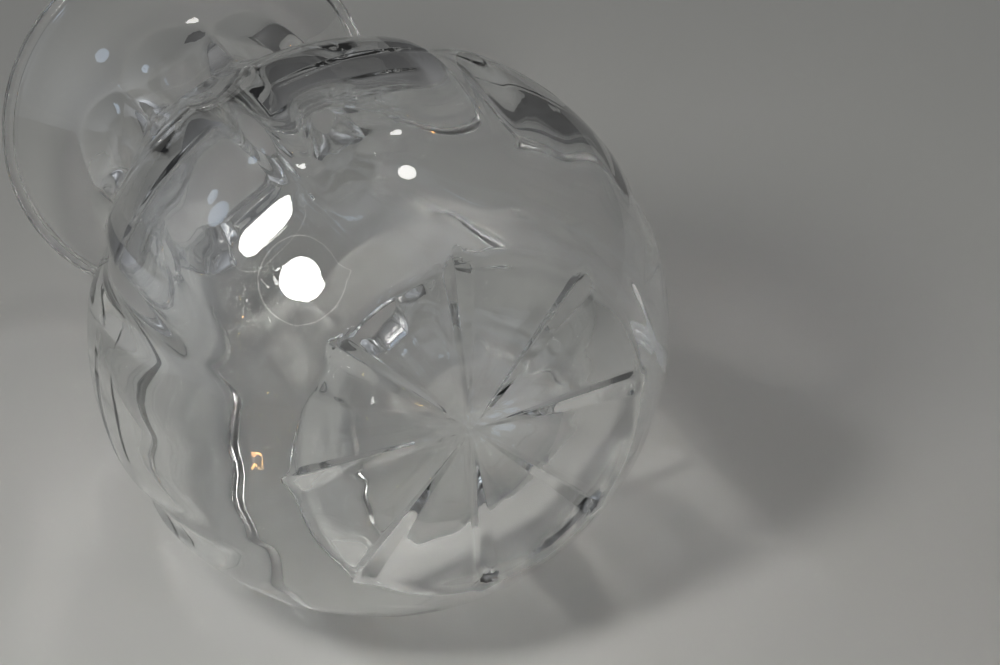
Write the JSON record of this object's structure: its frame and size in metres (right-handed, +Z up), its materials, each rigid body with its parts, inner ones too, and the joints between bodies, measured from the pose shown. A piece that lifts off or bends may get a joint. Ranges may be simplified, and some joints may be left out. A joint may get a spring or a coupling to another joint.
{
  "type": "vase",
  "caption": "Round-bodied cut crystal vase with a fluted neck, a flared plain rim, eight long hollow cuts and a star-cut flat base.",
  "frame": {"origin": "centre of the flat base, on the vase's axis", "axes": "+Z up the vase's axis from base to rim; +X along one ray of the base star, so the long hollow cuts and the neck flutes are centred 22.5 degrees either side of it"},
  "size_m": [0.1, 0.1, 0.15],
  "materials": {
    "lead_crystal": "polished clear cut crystal"
  },
  "bodies": {
    "root": {"crystal_vase": "lead_crystal"}
  },
  "joints": []
}
